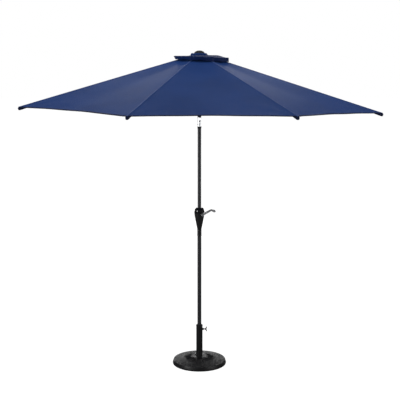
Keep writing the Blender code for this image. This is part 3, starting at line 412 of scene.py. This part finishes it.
def resin():
    """Cast resin, matt black, greyer on its raised edges and crests, with mineral specks."""
    look = Look("cast_resin_look", 0.5, Specular_IOR_Level=0.32)
    grit = look.noise(520.0, 4.0)
    cloudy = look.noise(9.0, 5.0, roughness=0.6)
    edge = look.node("ShaderNodeNewGeometry").outputs["Pointiness"]
    colour = look.mix(look.span(cloudy, 0.0, 1.0), (0.006, 0.006, 0.007), (0.013, 0.013, 0.014))
    colour = look.mix(look.span(edge, 0.0, 0.7, 0.49, 0.58), colour, (0.030, 0.030, 0.032))
    colour = look.mix(look.span(grit, 0.0, 0.5, 0.62, 0.75), colour, (0.040, 0.040, 0.042))
    return look.finish(colour, look.span(cloudy, 0.36, 0.52), look.bump(grit, 0.00022, 0.5))


def braid():
    """Braided cord: two sets of strands that cross."""
    look = Look("braided_cord_look", 0.8, Sheen_Weight=0.3)
    right = look.wave(420.0, "DIAGONAL", look.place())
    left = look.wave(420.0, "DIAGONAL", look.place((-1.0, 1.0, 1.0)))
    strands = look.math("MULTIPLY", right, left)
    # darker where the strands dip under each other: painted shade in the braid's hollows
    colour = look.mix(strands, (0.30, 0.30, 0.29), (0.62, 0.62, 0.60))
    return look.finish(colour, None, look.bump(strands, 0.0003, 0.8))


NAVY_DARK = (0.0120, 0.0460, 0.1900)
NAVY_LIGHT = (0.0165, 0.0580, 0.2350)

LOOKS = {
    "canopy_fabric": canvas("canopy_canvas", NAVY_DARK, NAVY_LIGHT),
    # hem and rib pockets: the canopy fabric painted much darker, painted shade on the turned edge and under the
    # rib tips
    "painted_shade_trim": canvas("hem_tape_painted_shade", (0.0060, 0.0120, 0.0480), (0.0090, 0.0180, 0.0640), stitched=True),
    # seam tape: the canopy fabric painted lighter, a painted highlight along the raised seam
    "seam": canvas("seam_tape_painted_highlight", (0.0420, 0.0800, 0.2400), (0.0640, 0.1080, 0.3000), stitched=True),
    # vent flap: the canopy fabric painted darker, painted shade on its edge-on hem and underside
    "crown": canvas("flap_canvas_painted_shade", (0.0055, 0.0170, 0.0800), (0.0100, 0.0330, 0.1400)),
    # gathered folds: the canopy fabric with painted light and shade, patches brighter and darker than the canopy's
    # own
    "gather": canvas("gathered_canvas_painted_light", (0.0100, 0.0340, 0.1500), (0.0240, 0.0760, 0.2900)),
    "cast_resin": resin(),
    "black_steel": coated("black_powder_coat", (0.011, 0.011, 0.012), (0.015, 0.015, 0.016)),
    "charcoal_steel": coated("charcoal_powder_coat", (0.041, 0.042, 0.046), (0.048, 0.049, 0.053)),
    "black_plastic": plastic("black_nylon", (0.008, 0.008, 0.009), (0.015, 0.015, 0.016), (0.3, 0.42)),
    "gloss_housing": plastic(
        "gloss_black", (0.005, 0.005, 0.006), (0.010, 0.010, 0.011), (0.10, 0.2), 0.00002, 0.6
    ),
    "finial_plastic": plastic(
        "finial_grey", (0.028, 0.028, 0.029), (0.045, 0.045, 0.046), (0.25, 0.38)
    ),
    "grip_plastic": plastic("grip_grey", (0.30, 0.30, 0.31), (0.42, 0.42, 0.43), (0.28, 0.4)),
    "grey_plastic": plastic("button_grey", (0.14, 0.14, 0.15), (0.19, 0.19, 0.20), (0.3, 0.4)),
    "chrome_steel": metal(
        "plated_steel", (0.58, 0.59, 0.61), (0.70, 0.71, 0.73), (0.10, 0.22), (300.0, 300.0, 12.0)
    ),
    "bare_steel": metal(
        "plain_steel", (0.40, 0.40, 0.42), (0.56, 0.56, 0.57), (0.28, 0.45), (12.0, 300.0, 300.0)
    ),
    "lift_cord": braid(),
}


def dress(obj, slot, look=None):
    """Gives a new piece its material: the look named for its slot, unless another look is given."""
    obj.data.materials.clear()
    obj.data.materials.append(LOOKS[look or slot])
    return obj


def soften_cad(obj):
    """Welds a carried-over solid and shades it smooth, but keeps its corners sharp."""
    weld = obj.modifiers.new("Weld", "WELD")
    weld.merge_threshold = 0.00002
    split = obj.modifiers.new("Sharp", "EDGE_SPLIT")
    split.split_angle = math.radians(38.0)
    for face in obj.data.polygons:
        face.use_smooth = True


def dress_cad_nodes():
    """Every carried-over node takes the look of its slot in the record."""
    slots = {row["node"]: row["material_slot"] for row in frame["record"]["subparts"]}
    for name, obj in frame["nodes"].items():
        obj.data.materials.clear()
        obj.data.materials.append(LOOKS[slots[name]])
        soften_cad(obj)


# ---------------------------------------------------------------- camera, light and floor


def make_camera():
    data = bpy.data.cameras.new("camera")
    data.sensor_width = 36.0
    data.lens = CAMERA_LENS
    data.shift_x = CAMERA_SHIFT
    camera = link("camera", data)
    place = Vector((math.cos(CAMERA_AZIMUTH), math.sin(CAMERA_AZIMUTH), 0.0)) * CAMERA_DISTANCE
    camera.location = place + UP * CAMERA_HEIGHT
    camera.rotation_euler = (math.pi / 2 - CAMERA_TILT, 0.0, CAMERA_AZIMUTH + math.pi / 2)
    bpy.context.scene.camera = camera


def area_light(name, turn_deg, distance, height, size, power, aim=1.5):
    """A soft round or upright light, at a turn from the camera's direction towards the right."""
    data = bpy.data.lights.new(name, "AREA")
    if isinstance(size, tuple):
        data.shape = "RECTANGLE"
        data.size, data.size_y = size
    else:
        data.shape = "DISK"
        data.size = size
    data.energy = power
    turn = CAMERA_AZIMUTH + math.radians(turn_deg)
    light = link(name, data)
    light.location = (distance * math.cos(turn), distance * math.sin(turn), height)
    light.rotation_euler = (Vector((0, 0, aim)) - light.location).to_track_quat("-Z", "Y").to_euler()
    light.visible_camera = False
    return light


def make_world():
    """White behind the object, and a darker studio round it that it reflects."""
    world = bpy.data.worlds.new("studio")
    world.use_nodes = True
    nodes, links = world.node_tree.nodes, world.node_tree.links
    room = nodes["Background"]
    room.inputs["Color"].default_value = (1.0, 1.0, 1.0, 1.0)
    room.inputs["Strength"].default_value = ROOM_LIGHT
    white = nodes.new("ShaderNodeBackground")
    white.inputs["Color"].default_value = (1.0, 1.0, 1.0, 1.0)
    white.inputs["Strength"].default_value = 1.0
    seen = nodes.new("ShaderNodeLightPath")
    mix = nodes.new("ShaderNodeMixShader")
    links.new(seen.outputs["Is Camera Ray"], mix.inputs[0])
    links.new(room.outputs[0], mix.inputs[1])
    links.new(white.outputs[0], mix.inputs[2])
    links.new(mix.outputs[0], nodes["World Output"].inputs["Surface"])
    bpy.context.scene.world = world
    bpy.context.scene.view_settings.view_transform = "Standard"


def make_studio():
    """Soft lights round the object, and a pale floor that looks white to the camera."""
    make_world()
    top = area_light("top", 180.0, 0.8, 6.4, 4.0, 138.0)
    top.visible_glossy = False
    area_light("left", -52.0, 4.6, 2.0, (1.5, 2.2), 84.0)
    area_light("right", 56.0, 4.6, 2.0, (1.2, 2.2), 62.0)
    area_light("behind_right", 168.0, 6.5, 4.9, (1.4, 1.4), 18.0, 2.2)
    area_light("behind_left", -168.0, 6.5, 4.9, (1.4, 1.4), 17.0, 2.2)
    area_light("backdrop", 180.0, 6.5, 0.8, (9.0, 1.3), 128.0, 0.4)

    bpy.ops.mesh.primitive_circle_add(vertices=96, radius=FLOOR_RADIUS, fill_type="NGON")
    floor = bpy.context.active_object
    floor.name = "floor"
    floor.location.z = -0.0005
    look = Look("pale_floor", 0.85, Specular_IOR_Level=0.0)
    mottle = look.noise(0.7, 3.0)
    colour = look.mix(look.span(mottle, 0.0, 1.0), (0.20, 0.20, 0.20), (0.23, 0.23, 0.23))
    look.shader.inputs["Emission Color"].default_value = (1.0, 1.0, 1.0, 1.0)
    lit = look.node("ShaderNodeLightPath").outputs["Is Camera Ray"]
    look.join(lit, look.shader, "Emission Strength")
    floor.data.materials.append(look.finish(colour))


# ---------------------------------------------------------------- canopy


def ripple(gore, share, out):
    """Low waves in the cloth between two ribs, and folds pulled from the rib tips."""
    phase = 2.4 * gore
    quiet = math.sin(math.pi * share) ** 2
    long_waves = LONG_WAVE * math.sin(5.0 * math.pi * share + phase) * out
    cross_waves = CROSS_WAVE * math.sin(3.4 * math.pi * out + 1.7 * phase)
    pulled = 0.0
    for corner in (share, 1.0 - share):
        across, back = corner, 1.2 * (1.0 - out)
        away = math.hypot(across, back)
        angle = math.atan2(back, across + 0.001)
        pull = math.exp(-away / CORNER_REACH) * blend_smooth(corner, 0.0, 0.05)
        pulled += CORNER_FOLD * pull * math.sin(9.0 * angle + phase)
    return quiet * (long_waves + cross_waves) + pulled


def gore_point(gore, share, out):
    """The middle of the cloth between rib `gore`, share 0, and the next one, share 1."""
    first, second = rib(gore), rib(gore + 1)
    rim = first.tip_radius * (1 - share) + second.tip_radius * share
    rim -= HEM_RISE * math.sin(math.pi * share)
    radius = CANOPY_HOLE + (rim - CANOPY_HOLE) * out
    place = first.top(radius).lerp(second.top(radius), share)
    hang = SAG * math.sin(math.pi * share) ** 2 * math.sin(math.pi * min(out, 1.0) ** 0.9) ** 0.8
    return place + UP * (ripple(gore % RIB_COUNT, share, out) - hang)


# Columns of the cloth from a rib, 0, to mid-gore, 0.5: closest beside the rib
HALF_SHARES = (
    0.0, 0.004, 0.010, 0.020, 0.035, 0.055, 0.08, 0.11, 0.145, 0.185, 0.23, 0.28, 0.33, 0.38, 0.42,
    0.46, 0.5,
)


def rib_columns(number):
    """(gore, share) of each column of one rib's cloth, from mid-gore to mid-gore."""
    before = [(number - 1, 1.0 - share) for share in HALF_SHARES[::-1]]
    after = [(number, share) for share in HALF_SHARES[1:]]
    return before + after


def out_rows(count):
    return [i / (count - 1) for i in range(count)]


def ride_and_fold(obj, number):
    """The piece turns with its rib."""
    line = rib(number)
    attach(obj, line.name)
    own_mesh(obj)


def make_cloth(number):
    """The piece of the canopy that one rib carries, from mid-gore to mid-gore."""
    line = rib(number)
    columns = rib_columns(number)
    rows, places = [], []
    for out in out_rows(CLOTH_ROWS):
        row = [gore_point(gore, share, out) for gore, share in columns]
        rows.append(row)
        places.append([((p - line.pivot) @ line.side, (p - line.pivot).length) for p in row])
    cloth = grid(f"canopy_cloth_{number}", rows, places, sharp_deg=180.0)
    thicken(cloth, CLOTH)
    dress(cloth, "canopy_fabric")
    return cloth


def make_hem(number):
    """A folded tape round the edge of the cloth."""
    columns = rib_columns(number)
    half = HEM_THICKNESS / 2
    sections = []
    for gore, share in columns:
        edge = gore_point(gore, share, 1.0)
        inward = (gore_point(gore, share, 0.97) - edge).normalized()
        if share in (0.0, 1.0):
            following = rib(number).side
        else:
            following = gore_point(gore, min(share + 0.002, 1.0), 1.0) - edge
        normal = inward.cross(following).normalized()
        if normal.z < 0:
            normal = -normal
        shape = ((HEM_WIDTH, 0.45), (0.4 * HEM_WIDTH, 1.0), (0.0, 0.9), (-0.0016, 0.0))
        loop = shape + tuple((x, -y) for x, y in shape[-2::-1])
        sections.append([edge + inward * x + normal * half * y for x, y in loop])
    hem = loft(f"canopy_hem_{number}", sections)
    # the hem's darker colours are painted shade
    dress(hem, "canopy_fabric", "painted_shade_trim")
    return hem


def make_seam(number):
    """The lapped seam along the rib, where two panels are sewn together."""
    line = rib(number)
    rows, places = [], []
    slope = SEAM_HALF_WIDTH * CLOTH_SLOPE
    shape = (
        (-1.0, -0.1), (-0.92, 0.55), (-0.5, 0.85), (0.0, 1.0), (0.5, 0.85), (0.92, 0.55), (1.0, -0.1)
    )
    run = line.tip_radius - CANOPY_HOLE
    for out in out_rows(SEAM_ROWS):
        radius = CANOPY_HOLE + SEAM_START + (run - SEAM_START) * out
        middle = line.top(radius) + line.up * CLOTH / 2
        row = []
        for across, height in shape:
            drop = slope * abs(across)
            row.append(
                middle + line.side * SEAM_HALF_WIDTH * across + line.up * (SEAM_HEIGHT * height - drop)
            )
        rows.append(row)
        places.append([(across * SEAM_HALF_WIDTH, radius) for across, _ in shape])
    seam = grid(f"canopy_seam_{number}", rows, places)
    thicken(seam, SEAM_TAPE, -1.0)
    # the seam's lighter colours are a painted highlight
    dress(seam, "canopy_fabric", "seam")
    return seam


def make_pocket(number):
    """The sewn pocket that holds the rib's end, under the corner of the canopy."""
    line = rib(number)
    # Along the rib from its tip, half width, and top and bottom from the rib's own line
    stations = (
        (-POCKET_LENGTH, 0.0066, 0.0086, -0.0088),
        (-POCKET_LENGTH + 0.004, 0.0074, 0.0088, -0.0100),
        (-0.050, 0.0082, 0.0090, -0.0108),
        (-0.028, 0.0090, 0.0092, -0.0118),
        (-0.008, 0.0094, 0.0094, -0.0124),
        (0.0010, 0.0092, 0.0092, -0.0118),
        (0.0048, 0.0078, 0.0080, -0.0100),
        (0.0066, 0.0048, 0.0050, -0.0064),
    )
    sections = []
    for along, half, top, bottom in stations:
        centre, high = (top + bottom) / 2, (top - bottom) / 2
        ring = []
        for step in range(POCKET_STEPS):
            angle = 2 * math.pi * step / POCKET_STEPS
            c, s = math.cos(angle), math.sin(angle)
            across = half * math.copysign(abs(c) ** POCKET_SQUARE, c)
            above = centre + high * math.copysign(abs(s) ** POCKET_SQUARE, s)
            crease = 0.0004 * math.sin(5 * angle + 300 * along + number)
            ring.append(line.place(line.length + along, across + crease, above + crease))
        sections.append(ring)
    pocket = loft(f"rib_pocket_{number}", sections, 0.006)
    # the pocket's darker colours are painted shade
    dress(pocket, "canopy_fabric", "painted_shade_trim")
    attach(pocket, line.name)
    return pocket


def make_canopy():
    for number in range(1, RIB_COUNT + 1):
        cloth = make_cloth(number)
        hem = make_hem(number)
        seam = make_seam(number)
        pocket = make_pocket(number)
        for piece in (cloth, hem, seam):
            ride_and_fold(piece, number)
        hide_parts(f"canopy_panel_{number}")


# ---------------------------------------------------------------- vent flap


HUB_CAP_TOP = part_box("hub_cap")[1].z


def crown_height(turn, radius):
    """The flap falls from the gathered top, and lies nearly level out to its rim."""
    rim = HUB_CAP_TOP - CROWN_RIM_DROP + CROWN_LEAN * math.cos(turn - CROWN_LEAN_TURN)
    neck = HUB_CAP_TOP - CROWN_NECK_DROP
    inner = blend_smooth(radius, 0.048, 0.090)
    full = 0.5 + 0.5 * math.cos(turn - CROWN_SHIFT_TURN)
    shoulder = HUB_CAP_TOP - CROWN_SHOULDER_DROP + CROWN_FULLNESS * full
    far = blend_smooth(radius, 0.080 + 0.045 * full, CROWN_RADIUS)
    return (neck * (1 - inner) + shoulder * inner) * (1 - far) + rim * far


def crown_point(turn, share, out):
    """share is 0 on a rib and 1 midway between two; out runs from the centre to the rim."""
    corner = CROWN_RADIUS + CROWN_SHIFT * math.cos(turn - CROWN_SHIFT_TURN)
    chord = math.cos(RIB_STEP / 2) / math.cos(RIB_STEP / 2 * (1 - share))
    rim = corner * chord - CROWN_SCALLOP * math.sin(math.pi * share / 2)
    radius = CROWN_INNER + (rim - CROWN_INNER) * out
    wave = CROWN_WAVE * out * math.sin(9 * turn + 0.6) * math.sin(math.pi * share / 2)
    droop = CROWN_DROOP * out**2 * math.sin(math.pi * share / 2) ** 2
    height = crown_height(turn, radius) + wave - droop
    return Vector((radius * math.cos(turn), radius * math.sin(turn), height))


def crown_hem(columns):
    """The flap's hem, turned down at the rim. It hangs inward on one side and outward on the other."""
    # Each row's share of the whole drop, and how far its cloth curls out
    rows = []
    for fall, curl in ((0.05, 1.0), (0.14, 1.3), (0.45, 0.9), (0.75, 0.4), (1.0, 0.0)):
        row = []
        for turn, share in columns:
            edge = crown_point(turn, share, 1.0)
            outward = Vector((math.cos(turn), math.sin(turn), 0.0))
            lean = math.cos(turn - CROWN_LEAN_TURN)
            middle = math.sin(math.pi * share / 2)
            drop = CROWN_HEM - 0.0035 * lean - 0.0060 * middle
            inward = 0.0045 + 0.0075 * lean + 0.0060 * middle
            wave = CROWN_HEM_WAVE * fall * middle * math.sin(11 * turn + 0.8)
            row.append(edge + outward * (CROWN_CURL * curl - inward * fall + wave) - UP * drop * fall)
        rows.append(row)
    return rows


def make_crown_sector(number):
    """The piece of the vent flap over one rib, with its hem."""
    line = rib(number)
    rows, places = [], []
    half = CROWN_HALF_COLUMNS
    columns = [(line.turn + RIB_STEP / 2 * j / half, abs(j) / half) for j in range(-half, half + 1)]
    for out in out_rows(CROWN_ROWS):
        rows.append([crown_point(turn, share, out) for turn, share in columns])
    rows += crown_hem(columns)
    for row in rows:
        places.append([(p @ line.side, p @ line.outward - p.z) for p in row])
    sector = grid(f"crown_cloth_{number}", rows, places, sharp_deg=180.0)
    thicken(sector, CLOTH * 1.1)
    # the flap's darker colours are painted shade
    dress(sector, "canopy_fabric", "crown")
    ride_and_fold(sector, number)
    return sector


def make_gather():
    """The flap's cloth, gathered in uneven folds under the finial."""
    # Radius, height, and how freely the cloth moves there
    profile = (
        (0.0090, HUB_CAP_TOP + 0.0016, 0.0),
        (0.0300, HUB_CAP_TOP + 0.0017, 0.0),
        (0.0405, HUB_CAP_TOP + 0.0018, 0.0),
        (0.0450, HUB_CAP_TOP + 0.0044, 0.35),
        (0.0500, HUB_CAP_TOP + 0.0056, 0.7),
        (0.0560, HUB_CAP_TOP + 0.0034, 1.0),
        (0.0600, HUB_CAP_TOP - 0.0020, 1.0),
        (0.0615, HUB_CAP_TOP - 0.0080, 1.0),
        (0.0600, HUB_CAP_TOP - 0.0130, 0.9),
        (0.0610, HUB_CAP_TOP - 0.0170, 0.8),
    )
    rows, places = [], []
    steps = GATHER_STEPS
    for radius, height, loose in profile:
        row, spots = [], []
        for step in range(steps):
            turn = 2 * math.pi * step / steps
            fold = math.sin(GATHER_FOLDS * turn + 1.3 * math.sin(3 * turn))
            lump = math.cos(turn - CROWN_LEAN_TURN) * GATHER_LEAN
            reach = radius + loose * (0.0026 * fold + lump)
            rise = loose * (0.0015 * math.cos(GATHER_FOLDS * turn) + 0.0013 * math.sin(5 * turn))
            row.append(Vector((reach * math.cos(turn), reach * math.sin(turn), height + rise)))
            spots.append((turn * 0.05, radius - height))
        rows.append(row)
        places.append(spots)
    gather = grid("crown_gather", rows, places, ring=True, sharp_deg=180.0)
    thicken(gather, CLOTH * 1.2)
    # the gather's brighter and darker patches are painted light and shade
    dress(gather, "canopy_fabric", "gather")
    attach(gather, "head")
    return gather


def make_crown():
    gather = make_gather()
    for number in range(1, RIB_COUNT + 1):
        sector = make_crown_sector(number)
        if number == 1:
            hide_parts("crown")


# ---------------------------------------------------------------- base

BASE_RIM_HEIGHT = 0.0300
FLUTE_COUNT = 40
FLUTE_DEPTH = 0.00190
WEAVE_COUNT = 36  # crossings round each band
WEAVE_HEIGHT = 0.00250
WEAVE_SINK = 0.0012  # the weave's valleys lie below the plain cone
WEAVE_START = 0.100
WEAVE_PITCH = 0.0115
CONE_START = 0.0622  # radii between which the top slopes
CONE_END = 0.1930
CONE_RINGS = 84
BASE_STEPS = 432


def weave_height(turn, radius):
    """Radial flutes near the middle that turn into a basket weave towards the rim."""
    flutes = FLUTE_DEPTH * math.cos(FLUTE_COUNT * turn)
    near = 1.0 - blend_smooth(radius, 0.095, 0.150)
    band = math.floor((radius - WEAVE_START) / WEAVE_PITCH)
    across = 2 * ((radius - WEAVE_START) / WEAVE_PITCH - band) - 1
    strand = math.sqrt(max(0.0, 1 - across * across))
    over = 0.5 + 0.5 * math.cos(WEAVE_COUNT * turn + math.pi * band)
    weave = WEAVE_HEIGHT * strand * (0.35 + 0.65 * over) - WEAVE_SINK
    there = blend_smooth(radius, 0.100, 0.125) * (1 - blend_smooth(radius, 0.1880, 0.1925))
    edge = blend_smooth(radius, 0.0625, 0.070)
    return edge * (flutes * near * (1 - 0.5 * there) + weave * there)


def base_rings():
    """Radii and heights of the casting's rings, from the recess out over the rim to the floor."""
    low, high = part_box("base_weight")
    radius, top = high.x, high.z
    rim = BASE_RIM_HEIGHT
    rings = [(0.0100, top - 0.0025), (0.0568, top - 0.0025), (0.0578, top - 0.0004)]
    rings += [(0.0584, top), (0.0606, top), (0.0614, top - 0.0003)]
    for step in range(CONE_RINGS + 1):
        t = step / CONE_RINGS
        r = CONE_START + (CONE_END - CONE_START) * t
        rings.append((r, top - 0.0006 + (rim + 0.0022 - top + 0.0006) * t))
    rings += [(0.1942, rim + 0.0026), (0.1972, rim + 0.0026), (0.1998, rim + 0.0016)]
    rings += [(0.2014, rim - 0.0004), (0.2030, 0.0220), (radius - 0.0010, 0.0135)]
    rings += [(radius, 0.0090), (radius - 0.0004, 0.0050), (radius - 0.0018, 0.0015)]
    rings += [(radius - 0.0045, low.z), (0.0100, low.z)]
    return rings


def make_base():
    """The cast base, from the recess under the sleeve's flange out over the rim to its underside."""
    rows, places = [], []
    steps = BASE_STEPS
    for radius, height in base_rings():
        row, spots = [], []
        for step in range(steps):
            turn = 2 * math.pi * step / steps
            lift = weave_height(turn, radius) if height > BASE_RIM_HEIGHT else 0.0
            row.append(Vector((radius * math.cos(turn), radius * math.sin(turn), height + lift)))
            spots.append((turn * 0.1, radius))
        rows.append(row)
        places.append(spots)
    casting = grid("base_casting", rows, places, ring=True, sharp_deg=60.0)
    dress(casting, "cast_resin")
    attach(casting, "base")
    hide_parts("base_weight")


# ---------------------------------------------------------------- small hardware


RIVET_STEPS = 20
RIVET_INSET = 0.0060  # from the strut's end
RIVET_OUTER = 0.0052  # from the strut's middle to the outer head
RIVET_INNER = -0.0068  # from the rib's middle to the inner head


def make_strut_rivets():
    """A rivet at each strut's outer end, through the strut and the rib beside it."""
    for number in range(1, RIB_COUNT + 1):
        line = rib(number)
        points = points_of(f"strut_{number}")
        reach = max(p @ line.outward for p in points)
        ends = [p for p in points if p @ line.outward > reach - 0.010]
        middle = sum(ends, Vector()) / len(ends) - line.line * RIVET_INSET
        beside = (middle - line.pivot) @ line.side
        outer = beside + RIVET_OUTER
        inner = RIVET_INNER
        profile = (
            (0.0, outer), (0.0020, outer - 0.0003), (0.0036, outer - 0.0014), (0.0038, outer - 0.0024),
            (0.0021, outer - 0.0024), (0.0021, inner + 0.0016), (0.0040, inner + 0.0016),
            (0.0036, inner + 0.0006), (0.0, inner),
        )
        rivet = turned(f"strut_rivet_{number}", profile, RIVET_STEPS)
        foot = middle - line.side * beside
        axes = Matrix((line.line, line.up, line.side)).transposed().to_4x4()
        rivet.data.transform(Matrix.Translation(foot) @ axes)
        dress(rivet, "bare_steel")
        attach(rivet, line.name)


# ---------------------------------------------------------------- assembly

make_camera()
make_studio()
dress_cad_nodes()
make_base()
make_canopy()
make_crown()
make_strut_rivets()
